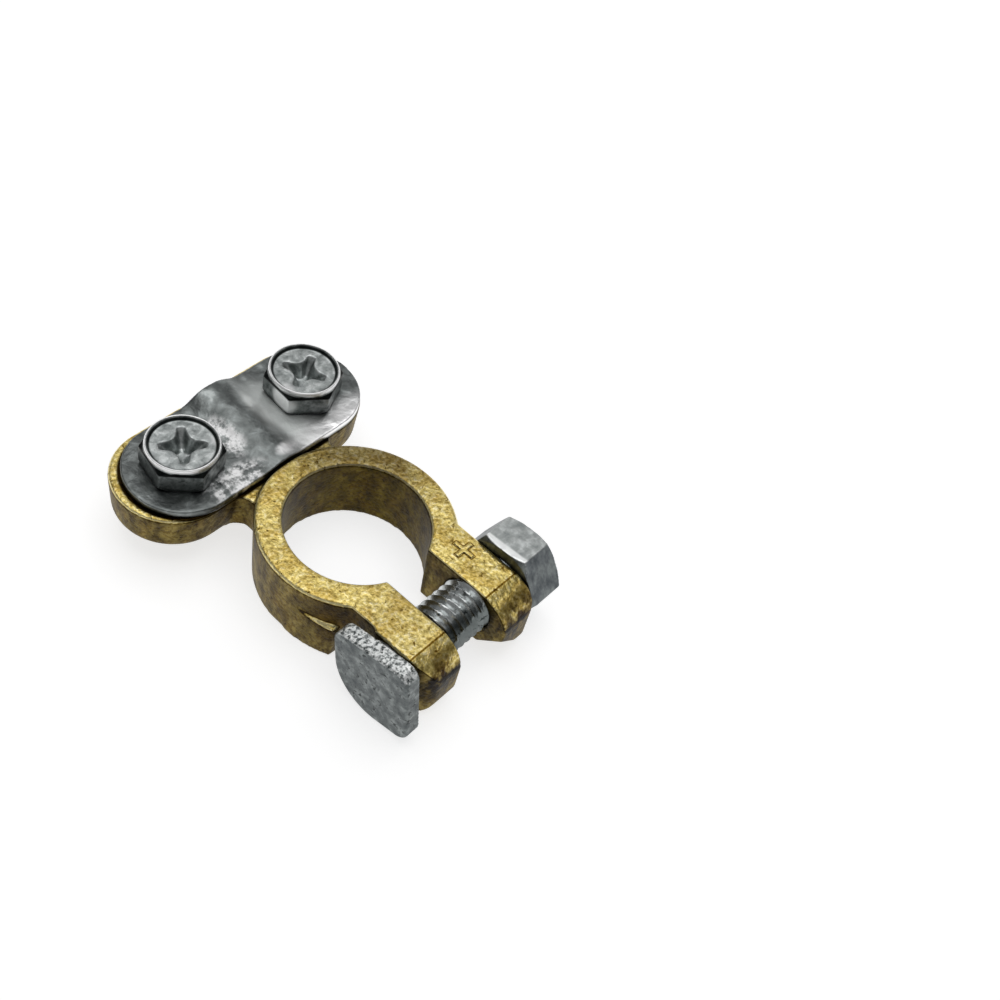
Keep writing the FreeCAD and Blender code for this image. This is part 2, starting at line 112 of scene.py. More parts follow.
# Worn places, and places of painted shade and painted highlight: centre and reach along each axis, and
# how soft the border is.
# Painted shade on the back of the ring's top.
SHADED_RING_BACK = ((8.0, 7.0, RING_TOP), (9.0, 9.0, 6.0), 0.6)
RUBBED_EAR = ((-EAR_MIDDLE_X, -15.5, RING_TOP), (5.0, 6.0, 3.0), 0.5)
UNDER_SHOULDER = ((-12.4, -9.5, 8.0), (2.6, 5.5, 4.0), 0.4)
# Painted shade in streaks on the ears' fronts.
SHADED_EAR_FRONTS = [((x, -23.2, 7.6), (5.0, 2.2, 3.6), 0.7) for x in (-EAR_MIDDLE_X, EAR_MIDDLE_X)]
# Painted highlights on the plate: white splashes with ragged borders.
GLINT_BEHIND_SCREW = ((-3.7, 22.4, PLATE_TOP), (1.9, 3.6, 6.0), 0.35)
GLINT_BEFORE_SCREW = ((-7.6, 15.6, PLATE_TOP), (4.6, 2.3, 6.0), 0.35)
# Painted highlight on one side of the plate's hump.
LIT_HUMP_SIDE = ((5.4, 20.4, PLATE_TOP), (3.0, 6.5, 6.0), 0.6)
HUMP_SHINE = ((3.4, 23.2, PLATE_TOP), (0.9, 2.6, 6.0), 0.7)
CORNER_SHINE = ((11.0, 14.6, PLATE_TOP), (7.0, 2.6, 6.0), 0.7)
EDGE_SHINE = ((1.8, 15.5, PLATE_TOP), (1.7, 0.9, 6.0), 0.5)
# The way from each screw's axis to its flat that has a painted highlight: the left screw's is towards
# the bore, the right screw's towards the hump.
BRIGHT_FLATS = {"left": (0.9, -0.43), "right": (-0.9, -0.2)}


# Tools for shaping

def select_only(piece):
    """Makes one piece the only selected one, and the active one."""
    if bpy.context.object and bpy.context.object.mode != "OBJECT":
        bpy.ops.object.mode_set(mode="OBJECT")
    bpy.ops.object.select_all(action="DESELECT")
    piece.hide_set(False)
    piece.select_set(True)
    bpy.context.view_layer.objects.active = piece


def copy_of_node(name_in_frame, name):
    """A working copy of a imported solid, with its loose triangles welded together."""
    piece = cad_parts[name_in_frame].copy()
    piece.data = piece.data.copy()
    piece.name = name
    piece.data.name = name
    piece.parent = None
    for key in list(piece.keys()):
        del piece[key]
    bpy.context.scene.collection.objects.link(piece)
    select_only(piece)
    bpy.ops.object.mode_set(mode="EDIT")
    bpy.ops.mesh.select_all(action="SELECT")
    bpy.ops.mesh.remove_doubles(threshold=0.002 * MM)
    bpy.ops.object.mode_set(mode="OBJECT")
    if piece.data.has_custom_normals:
        bpy.ops.mesh.customdata_custom_splitnormals_clear()
    return piece


def apply_modifiers(piece):
    select_only(piece)
    for modifier in list(piece.modifiers):
        bpy.ops.object.modifier_apply(modifier=modifier.name)


def soften(piece, voxel, rounds):
    """Rebuilds the skin in small even squares and rubs its edges round, as casting or forging does."""
    remesh = piece.modifiers.new("even_skin", "REMESH")
    remesh.mode = "VOXEL"
    remesh.voxel_size = voxel * MM
    remesh.adaptivity = 0.0
    smooth = piece.modifiers.new("rubbed_edges", "SMOOTH")
    smooth.factor = 0.5
    smooth.iterations = rounds
    apply_modifiers(piece)
    select_only(piece)
    bpy.ops.object.shade_smooth()


def mark_skin(piece, name, weight_at):
    """Vertex group of the places where weight_at(place, normal) is above nought."""
    group = piece.vertex_groups.new(name=name)
    for vertex in piece.data.vertices:
        weight = weight_at(vertex.co / MM, vertex.normal)
        if weight > 0:
            group.add([vertex.index], weight, "REPLACE")


def rub_round(piece, name, rounds, weight_at):
    """Rubs the edges in one place rounder than the rest."""
    mark_skin(piece, name, weight_at)
    smooth = piece.modifiers.new(name, "SMOOTH")
    smooth.vertex_group = name
    smooth.factor = 0.5
    smooth.iterations = rounds
    apply_modifiers(piece)
    piece.vertex_groups.remove(piece.vertex_groups[name])


def roughen(piece, name, lump, height, weight_at):
    """Raises low lumps of the given width and height in one place."""
    mark_skin(piece, name, weight_at)
    clouds = bpy.data.textures.new(name, "CLOUDS")
    clouds.noise_scale = lump * MM
    clouds.noise_depth = 2
    lumps = piece.modifiers.new(name, "DISPLACE")
    lumps.texture = clouds
    lumps.texture_coords = "LOCAL"
    lumps.vertex_group = name
    lumps.strength = height * MM
    lumps.mid_level = 0.5
    apply_modifiers(piece)
    piece.vertex_groups.remove(piece.vertex_groups[name])


def cut_plane(piece, point, normal, clear_outer):
    """Cuts a piece at a plane and closes the cut with one face."""
    select_only(piece)
    bpy.ops.object.mode_set(mode="EDIT")
    bpy.ops.mesh.select_mode(type="EDGE")
    bpy.ops.mesh.select_all(action="SELECT")
    bpy.ops.mesh.bisect(
        plane_co=[value * MM for value in point],
        plane_no=normal,
        clear_outer=clear_outer,
        clear_inner=not clear_outer,
        threshold=0.0001 * MM,
    )
    bpy.ops.mesh.select_all(action="DESELECT")
    bpy.ops.mesh.select_non_manifold(
        extend=False, use_wire=False, use_multi_face=False, use_non_contiguous=False
    )
    bpy.ops.mesh.edge_face_add()
    bpy.ops.object.mode_set(mode="OBJECT")


def settle(piece):
    """Puts a piece's place into its mesh and leaves its object at the origin."""
    select_only(piece)
    bpy.ops.object.transform_apply(location=True, rotation=True, scale=True)
    bpy.ops.object.mode_set(mode="EDIT")
    bpy.ops.mesh.select_all(action="SELECT")
    bpy.ops.mesh.normals_make_consistent(inside=False)
    bpy.ops.object.mode_set(mode="OBJECT")


def thread_depth(pitch, along, turn, start):
    """How far the thread's groove goes in at one place, from 0 at the crest to 1 at the root."""
    phase = (along / pitch - turn / (2 * math.pi)) % 1.0
    flank = abs(phase - 0.5) * 2
    depth = min(1.0, max(0.0, (flank - THREAD_CREST) / THREAD_FLANK))
    fade = min(1.0, max(0.0, (along - start) / pitch))
    return depth * fade


def threaded_rod(name, radius, pitch, length, point):
    """Right-hand thread along +Z from the origin: a drawn cylinder whose skin follows the helix."""
    rings = round(length / (pitch / THREAD_STEPS_PER_TURN))
    bpy.ops.object.select_all(action="DESELECT")
    bpy.ops.mesh.primitive_cylinder_add(
        vertices=THREAD_SIDES, radius=radius * MM, depth=length * MM, location=(0, 0, length * MM / 2)
    )
    rod = bpy.context.object
    rod.name = name
    rod.data.name = name
    bpy.ops.object.transform_apply(location=True)
    bpy.ops.object.mode_set(mode="EDIT")
    bpy.ops.mesh.select_all(action="DESELECT")
    bpy.ops.object.mode_set(mode="OBJECT")
    for edge in rod.data.edges:
        low, high = (rod.data.vertices[i].co.z for i in edge.vertices)
        edge.select = abs(high - low) > length * MM / 2
    bpy.ops.object.mode_set(mode="EDIT")
    bpy.ops.mesh.select_mode(type="EDGE")
    bpy.ops.mesh.subdivide(number_cuts=rings - 1)
    bpy.ops.object.mode_set(mode="OBJECT")
    root = THREAD_ROOT_DEPTH * pitch
    for vertex in rod.data.vertices:
        along = vertex.co.z / MM
        turn = math.atan2(vertex.co.y, vertex.co.x)
        inset = root * thread_depth(pitch, along, turn, THREAD_PLAIN_START)
        inset = max(inset, along - (length - point))
        scale = (radius - inset) / radius
        vertex.co.x *= scale
        vertex.co.y *= scale
    return rod


def join_rod(head, rod, place, turn):
    """Sets a threaded rod at its place and makes it one piece with its head."""
    rod.rotation_euler = turn
    rod.location = [value * MM for value in place]
    select_only(rod)
    head.select_set(True)
    bpy.context.view_layer.objects.active = head
    bpy.ops.object.transform_apply(location=True, rotation=True, scale=True)
    bpy.ops.object.join()
    settle(head)
    select_only(head)
    bpy.ops.object.shade_smooth_by_angle(angle=math.radians(50))


# Materials

def linear(code):
    """Linear colour of an sRGB hex code."""
    parts = [int(code[i:i + 2], 16) / 255 for i in (0, 2, 4)]
    return [c / 12.92 if c <= 0.04045 else ((c + 0.055) / 1.055) ** 2.4 for c in parts] + [1.0]


def node(tree, kind, take=None, links=None, inputs=None, stops=None, **settings):
    """Adds one shader node with its settings, fixed inputs, feeding sockets and colour stops."""
    made = tree.nodes.new(kind)
    for key, value in settings.items():
        setattr(made, key, value)
    for key, value in (inputs or {}).items():
        made.inputs[key].default_value = value
    for key, socket in (links or {}).items():
        tree.links.new(socket, made.inputs[key])
    for index, (place, colour) in enumerate(stops or []):
        if index >= len(made.color_ramp.elements):
            made.color_ramp.elements.new(place)
        made.color_ramp.elements[index].position = place
        made.color_ramp.elements[index].color = linear(colour)
    return made if take is None else made.outputs[take]


def between(low, high, start=0.0, stop=1.0):
    """Inputs of a change from start to stop while a value goes from low to high."""
    return {"From Min": low, "From Max": high, "To Min": start, "To Max": stop}


def new_material(name):
    """An empty material, its coordinates in millimetres, and the skin's direction and place by axis."""
    material = bpy.data.materials.new(name)
    material.use_nodes = True
    tree = material.node_tree
    tree.nodes.clear()
    coordinates = node(tree, "ShaderNodeTexCoord")
    place = node(
        tree, "ShaderNodeMapping", take="Vector",
        links={"Vector": coordinates.outputs["Object"]},
        inputs={"Scale": (1 / MM, 1 / MM, 1 / MM)},
    )
    facing = node(tree, "ShaderNodeSeparateXYZ", links={"Vector": coordinates.outputs["Normal"]})
    at = node(tree, "ShaderNodeSeparateXYZ", links={"Vector": place})
    return material, tree, place, facing.outputs, at.outputs


def metal_surface(tree, colour, roughness, normal):
    surface = node(
        tree, "ShaderNodeBsdfPrincipled", take="BSDF",
        links={"Base Color": colour, "Roughness": roughness, "Normal": normal},
        inputs={"Metallic": 1.0},
    )
    node(tree, "ShaderNodeOutputMaterial", links={"Surface": surface})


def distance_from(tree, place, centre, reach):
    """Distance from a place on the piece, in reaches along each axis."""
    oval = node(
        tree, "ShaderNodeMapping", take="Vector", links={"Vector": place},
        inputs={
            "Location": [-c / r for c, r in zip(centre, reach)],
            "Scale": [1 / r for r in reach],
        },
    )
    return node(tree, "ShaderNodeVectorMath", take="Value", operation="LENGTH", links={0: oval})


def patch(tree, place, centre, reach, feather):
    """1 inside an oval place on the piece and 0 outside it, with a soft border."""
    return node(
        tree, "ShaderNodeMapRange", take="Result", interpolation_type="SMOOTHSTEP",
        links={"Value": distance_from(tree, place, centre, reach)},
        inputs=between(1 - feather, 1 + feather, 1.0, 0.0),
    )


def line_where(tree, value, centre, half_width):
    """1 on a line where the value is near its centre, 0 beside it."""
    off = node(
        tree, "ShaderNodeMath", take=0, operation="SUBTRACT", links={0: value}, inputs={1: centre}
    )
    size = node(tree, "ShaderNodeMath", take=0, operation="ABSOLUTE", links={0: off})
    return node(
        tree, "ShaderNodeMapRange", take="Result", interpolation_type="SMOOTHSTEP",
        links={"Value": size}, inputs=between(half_width * 0.5, half_width * 1.5, 1.0, 0.0),
    )


def beyond_box(tree, at, centre, half_size):
    """How far a place lies outside an upright box, seen from above, in millimetres."""
    past = {}
    for axis, middle, half in zip("XY", centre, half_size):
        off = node(
            tree, "ShaderNodeMath", take=0, operation="SUBTRACT", links={0: at[axis]}, inputs={1: middle}
        )
        size = node(tree, "ShaderNodeMath", take=0, operation="ABSOLUTE", links={0: off})
        over = node(
            tree, "ShaderNodeMath", take=0, operation="SUBTRACT", links={0: size}, inputs={1: half}
        )
        past[axis] = node(
            tree, "ShaderNodeMath", take=0, operation="MAXIMUM", links={0: over}, inputs={1: 0.0}
        )
    out = node(tree, "ShaderNodeCombineXYZ", take="Vector", links=past)
    return node(tree, "ShaderNodeVectorMath", take="Value", operation="LENGTH", links={0: out})


def plus_outline(tree, at):
    """1 in a narrow line of painted shade round the raised plus, 0 elsewhere."""
    bars = [
        beyond_box(tree, at, PLUS_MARK_AT, (PLUS_ARM_X / 2, PLUS_ARM_WIDTH / 2)),
        beyond_box(tree, at, PLUS_MARK_AT, (PLUS_ARM_WIDTH / 2, PLUS_ARM_Y / 2)),
    ]
    nearest = node(
        tree, "ShaderNodeMath", take=0, operation="MINIMUM", links={0: bars[0], 1: bars[1]}
    )
    return line_where(tree, nearest, 0.13, 0.08)


def cast_brass():
    """Sand-cast brass: orange-peel grain all over, yellow on the dressed top, brown on the walls; the
    walls' and the bore's darker brown is partly cast skin and partly painted shade.
    """
    material, tree, place, facing, at = new_material("sand_cast_brass")
    # Sand grain is about 0.3 mm wide and is drawn nearly twice as coarse, so that it shows.
    grain = node(
        tree, "ShaderNodeTexNoise", take="Fac", links={"Vector": place},
        inputs={"Scale": 1.8, "Detail": 3.0, "Roughness": 0.6, "Distortion": 0.15},
    )
    blotches = node(
        tree, "ShaderNodeTexNoise", take="Fac", links={"Vector": place},
        inputs={"Scale": 0.42, "Detail": 4.0, "Roughness": 0.55},
    )
    pits = node(
        tree, "ShaderNodeTexNoise", take="Fac", links={"Vector": place},
        inputs={"Scale": 1.1, "Detail": 5.0, "Roughness": 0.6, "Distortion": 0.5},
    )
    upright = node(
        tree, "ShaderNodeMapping", take="Vector", links={"Vector": place},
        inputs={"Scale": (0.8, 0.8, 0.45)},
    )
    streaks = node(
        tree, "ShaderNodeTexNoise", take="Fac", links={"Vector": upright},
        inputs={"Scale": 0.8, "Detail": 5.0, "Roughness": 0.55},
    )
    top = node(
        tree, "ShaderNodeValToRGB", take="Color", links={"Fac": grain},
        stops=[(0.34, "B09A56"), (0.44, "D6C070"), (0.53, "EED988"), (0.64, "FCEDB4")],
    )
    # The walls, and the bore more so, are darker partly as cast skin and partly as painted shade.
    wall = node(
        tree, "ShaderNodeValToRGB", take="Color", links={"Fac": streaks},
        stops=[(0.34, "4E401A"), (0.5, "726332"), (0.66, "8E7D44")],
    )
    bore = node(
        tree, "ShaderNodeValToRGB", take="Color", links={"Fac": streaks},
        stops=[(0.34, "3A2F08"), (0.5, "52440E"), (0.66, "66571E")],
    )
    dressed = node(
        tree, "ShaderNodeMapRange", take="Result", interpolation_type="SMOOTHSTEP",
        links={"Value": facing["Z"]}, inputs=between(0.2, 0.6),
    )
    bore_reach = (BORE_WALL_RADIUS, BORE_WALL_RADIUS, ANY_HEIGHT)
    in_bore = patch(tree, place, (0, 0, RING_TOP / 2), bore_reach, 0.02)
    walls = node(
        tree, "ShaderNodeMix", take=2, data_type="RGBA", links={0: in_bore, 6: wall, 7: bore}
    )
    colour = node(
        tree, "ShaderNodeMix", take=2, data_type="RGBA", links={0: dressed, 6: walls, 7: top}
    )

    # Painted highlight: a light line along the rounded top edges behind the ridge.
    behind_ridge = node(
        tree, "ShaderNodeMapRange", take="Result", links={"Value": at["Y"]},
        inputs=between(EAR_RIDGE_Y - 0.8, EAR_RIDGE_Y - 0.2),
    )
    edge_highlight = node(
        tree, "ShaderNodeMath", take=0, operation="MULTIPLY",
        links={0: line_where(tree, facing["Z"], 0.66, 0.16), 1: behind_ridge},
    )
    edge_shadow = line_where(tree, facing["Z"], 0.2, 0.08)
    dark_pits = node(
        tree, "ShaderNodeMapRange", take="Result", interpolation_type="SMOOTHSTEP",
        links={"Value": pits}, inputs=between(0.31, 0.39, 1.0, 0.0),
    )
    dull = node(
        tree, "ShaderNodeMapRange", take="Result", interpolation_type="SMOOTHSTEP",
        links={"Value": blotches}, inputs=between(0.44, 0.6),
    )
    # Painted shade on the back of the ring's top.
    shaded_back = node(
        tree, "ShaderNodeMath", take=0, operation="MULTIPLY",
        links={0: patch(tree, place, *SHADED_RING_BACK), 1: dressed},
    )
    on_wall = node(
        tree, "ShaderNodeMath", take=0, operation="SUBTRACT", inputs={0: 1.0}, links={1: dressed}
    )
    shadowed = node(
        tree, "ShaderNodeMath", take=0, operation="MULTIPLY",
        links={0: patch(tree, place, *UNDER_SHOULDER), 1: on_wall},
    )
    low_grain = node(
        tree, "ShaderNodeMapRange", take="Result", interpolation_type="SMOOTHSTEP",
        links={"Value": grain}, inputs=between(0.4, 0.52, 1.0, 0.0),
    )
    wall_grain = node(
        tree, "ShaderNodeMath", take=0, operation="MULTIPLY", links={0: low_grain, 1: on_wall}
    )
    # Streaks of painted shade for the ears' fronts.
    streak_shade = node(
        tree, "ShaderNodeMapRange", take="Result", interpolation_type="SMOOTHSTEP",
        links={"Value": streaks}, inputs=between(0.4, 0.66, 1.0, 0.0),
    )
    ridge = node(
        tree, "ShaderNodeMath", take=0, operation="MULTIPLY",
        links={0: line_where(tree, at["Y"], EAR_RIDGE_Y, 0.14), 1: dressed},
    )
    # Painted shadow in a line on the base's top round the plate's edge.
    beside_plate = beyond_box(tree, at, (0, PLATE_END[1]), (PLATE_END[0], 0))
    contact_line = line_where(tree, beside_plate, PLATE_END_RADIUS + 0.1, 0.4)
    above_base = node(
        tree, "ShaderNodeMapRange", take="Result", links={"Value": at["Z"]},
        inputs=between(BASE_TOP - 0.6, BASE_TOP - 0.2),
    )
    plate_contact_shadow = node(
        tree, "ShaderNodeMath", take=0, operation="MULTIPLY", links={0: contact_line, 1: above_base}
    )
    # Painted shade round the raised plus.
    plus_shade = node(
        tree, "ShaderNodeMath", take=0, operation="MULTIPLY",
        links={0: plus_outline(tree, at), 1: dressed},
    )
    coats = [
        (dull, "MULTIPLY", "E6DDC8"),
        (wall_grain, "MULTIPLY", "CEC4A6"),
        (edge_highlight, "MIX", "F4E6AE"),
        (edge_shadow, "MULTIPLY", "7A683C"),
        (shaded_back, "MULTIPLY", "A2A0A8"),
        (dark_pits, "MULTIPLY", "917F50"),
        (patch(tree, place, *RUBBED_EAR), "MULTIPLY", "ECECF2"),
        (shadowed, "MULTIPLY", "A39470"),
        (ridge, "MULTIPLY", "8C7840"),
        (plate_contact_shadow, "MULTIPLY", "2A200E"),
        (plus_shade, "MULTIPLY", "8A7434"),
    ]
    # Painted shade in streaks on the ears' fronts.
    for ear_front in SHADED_EAR_FRONTS:
        ear_front_shade = node(
            tree, "ShaderNodeMath", take=0, operation="MULTIPLY",
            links={0: patch(tree, place, *ear_front), 1: streak_shade},
        )
        coats.append((ear_front_shade, "MULTIPLY", "4A3A1E"))
    for share, blend, tint in coats:
        colour = node(
            tree, "ShaderNodeMix", take=2, data_type="RGBA", blend_type=blend,
            links={0: share, 6: colour}, inputs={7: linear(tint)},
        )

    rough = node(
        tree, "ShaderNodeMapRange", take="Result", links={"Value": dressed},
        inputs=between(0.0, 1.0, 0.5, 0.32),
    )
    lumpy = node(
        tree, "ShaderNodeBump", take="Normal", links={"Height": blotches},
        inputs={"Strength": 0.6, "Distance": 0.0003},
    )
    grainy = node(
        tree, "ShaderNodeBump", take="Normal", links={"Height": grain, "Normal": lumpy},
        inputs={"Strength": 1.0, "Distance": 0.00012},
    )
    pitted = node(
        tree, "ShaderNodeBump", take="Normal", invert=True,
        links={"Height": dark_pits, "Normal": grainy},
        inputs={"Strength": 0.6, "Distance": 0.00006},
    )
    metal_surface(tree, colour, rough, pitted)
    return material


def pressed_zinc():
    """Zinc-plated sheet steel, pressed: dark and glossy, with white splashes of painted highlight
    between dents.
    """
    material, tree, place, _, at = new_material("zinc_on_pressed_sheet")
    clouds = node(
        tree, "ShaderNodeTexNoise", take="Fac", links={"Vector": place},
        inputs={"Scale": 0.45, "Detail": 5.0, "Roughness": 0.58, "Distortion": 0.3},
    )
    colour = node(
        tree, "ShaderNodeValToRGB", take="Color", links={"Fac": clouds},
        stops=[(0.32, "5A5E5D"), (0.5, "717574"), (0.62, "858A89"), (0.72, "A6ABAA")],
    )
    ragged = node(
        tree, "ShaderNodeTexNoise", take="Fac", links={"Vector": place},
        inputs={"Scale": 0.75, "Detail": 8.0, "Roughness": 0.62},
    )
    ragged_border = node(
        tree, "ShaderNodeMapRange", take="Result", interpolation_type="SMOOTHSTEP",
        links={"Value": ragged}, inputs=between(0.42, 0.62),
    )
    # Painted highlights: white splashes with ragged borders.
    glint_places = node(
        tree, "ShaderNodeMath", take=0, operation="MAXIMUM",
        links={0: patch(tree, place, *GLINT_BEHIND_SCREW), 1: patch(tree, place, *GLINT_BEFORE_SCREW)},
    )
    ragged_glints = node(
        tree, "ShaderNodeMath", take=0, operation="MULTIPLY", links={0: glint_places, 1: ragged_border}
    )
    # Painted highlight on one side of the plate's hump.
    lit_hump_side = patch(tree, place, *LIT_HUMP_SIDE)
    matt = node(
        tree, "ShaderNodeMath", take=0, operation="MAXIMUM", links={0: ragged_glints, 1: lit_hump_side}
    )
    # Painted shade on the low part of the plate's edge.
    plate_edge_shade = node(
        tree, "ShaderNodeMapRange", take="Result", links={"Value": at["Z"]},
        inputs=between(BASE_TOP + 0.25, BASE_TOP + 0.7, 1.0, 0.0),
    )
    coats = [
        (lit_hump_side, "MIX", "DDE1DF"),
        (patch(tree, place, *HUMP_SHINE), "MIX", "F4F7F5"),
        (ragged_glints, "MIX", "FFFFFF"),
        (patch(tree, place, *CORNER_SHINE), "MIX", "FFFFFF"),
        (patch(tree, place, *EDGE_SHINE), "MIX", "FFFFFF"),
        (plate_edge_shade, "MULTIPLY", "5A5E5C"),
    ]
    for share, blend, tint in coats:
        colour = node(
            tree, "ShaderNodeMix", take=2, data_type="RGBA", blend_type=blend,
            links={0: share, 6: colour}, inputs={7: linear(tint)},
        )
    rough = node(
        tree, "ShaderNodeMapRange", take="Result", links={"Value": matt},
        inputs=between(0.0, 1.0, 0.3, 0.6),
    )
    dented = node(
        tree, "ShaderNodeBump", take="Normal", links={"Height": clouds},
        inputs={"Strength": 0.5, "Distance": 0.0003},
    )
    metal_surface(tree, colour, rough, dented)
    return material


def screw_zinc(name, axis, bright_flat):
    """Zinc-plated cold-headed steel: painted light on the stamped top and painted shade on the hexagon,
    but for one flat with a painted highlight.
    """
    material, tree, place, facing, at = new_material(name)
    clouds = node(
        tree, "ShaderNodeTexNoise", take="Fac", links={"Vector": place},
        inputs={"Scale": 0.8, "Detail": 4.0, "Roughness": 0.6, "Distortion": 0.3},
    )
    light = node(
        tree, "ShaderNodeValToRGB", take="Color", links={"Fac": clouds},
        stops=[(0.34, "868B8A"), (0.5, "AEB3B2"), (0.66, "DCE0DF")],
    )
    dark = node(
        tree, "ShaderNodeValToRGB", take="Color", links={"Fac": clouds},
        stops=[(0.34, "555A59"), (0.5, "7E8382"), (0.66, "A2A6A5")],
    )
    upward = node(
        tree, "ShaderNodeMapRange", take="Result", interpolation_type="SMOOTHSTEP",
        links={"Value": facing["Z"]}, inputs=between(0.1, 0.5),
    )
    # Painted light on the top and painted shade on the hexagon's sides.
    colour = node(
        tree, "ShaderNodeMix", take=2, data_type="RGBA", links={0: upward, 6: dark, 7: light}
    )
    # Painted highlight on one flat of the hexagon.
    flat_centre = (
        axis.x + SCREW_HALF_FLATS * bright_flat[0],
        axis.y + SCREW_HALF_FLATS * bright_flat[1],
        PLATE_TOP + 1.9,
    )
    flat_highlight = patch(tree, place, flat_centre, (2.0, 2.0, 2.0), 0.25)
    # Painted shadow in a line under the rim, outside the dish.
    under_rim = line_where(tree, at["Z"], SCREW_TOP - SCREW_RIM_HEIGHT - 0.34, 0.3)
    from_axis = distance_from(tree, place, (axis.x, axis.y, SCREW_TOP), (1, 1, ANY_HEIGHT))
    outside = node(
        tree, "ShaderNodeMapRange", take="Result", links={"Value": from_axis},
        inputs=between(SCREW_DISH_RADIUS + 0.1, SCREW_DISH_RADIUS + 0.25),
    )
    under_rim_shadow = node(
        tree, "ShaderNodeMath", take=0, operation="MULTIPLY", links={0: under_rim, 1: outside}
    )
    above_dish = node(
        tree, "ShaderNodeMapRange", take="Result", links={"Value": at["Z"]},
        inputs=between(SCREW_TOP - 0.7, SCREW_TOP - 0.6),
    )
    # Painted shade on the dish's wall.
    dish_wall_shade = node(
        tree, "ShaderNodeMath", take=0, operation="MULTIPLY",
        links={0: line_where(tree, from_axis, SCREW_DISH_RADIUS - 0.08, 0.2), 1: above_dish},
    )
    # Painted highlight: a light line along the rim.
    rim_highlight = node(
        tree, "ShaderNodeMath", take=0, operation="MULTIPLY",
        links={0: line_where(tree, from_axis, SCREW_DISH_RADIUS + 0.36, 0.14), 1: above_dish},
    )
    # Painted shadow low round the hexagon's base.
    foot_shadow = node(
        tree, "ShaderNodeMapRange", take="Result", links={"Value": at["Z"]},
        inputs=between(PLATE_TOP + 0.2, PLATE_TOP + 0.8, 1.0, 0.0),
    )
    coats = [
        (flat_highlight, "MIX", "FFFFFF"),
        (rim_highlight, "MIX", "FFFFFF"),
        (dish_wall_shade, "MULTIPLY", "3A3E3D"),
        (under_rim_shadow, "MULTIPLY", "202322"),
        (foot_shadow, "MULTIPLY", "6A6E6D"),
    ]
    for share, blend, tint in coats:
        colour = node(
            tree, "ShaderNodeMix", take=2, data_type="RGBA", blend_type=blend,
            links={0: share, 6: colour}, inputs={7: linear(tint)},
        )
    rough = node(
        tree, "ShaderNodeMapRange", take="Result", links={"Value": clouds},
        inputs=between(0.3, 0.7, 0.44, 0.3),
    )
    dented = node(
        tree, "ShaderNodeBump", take="Normal", links={"Height": clouds},
        inputs={"Strength": 0.5, "Distance": 0.00016},
    )
    metal_surface(tree, colour, rough, dented)
    return material


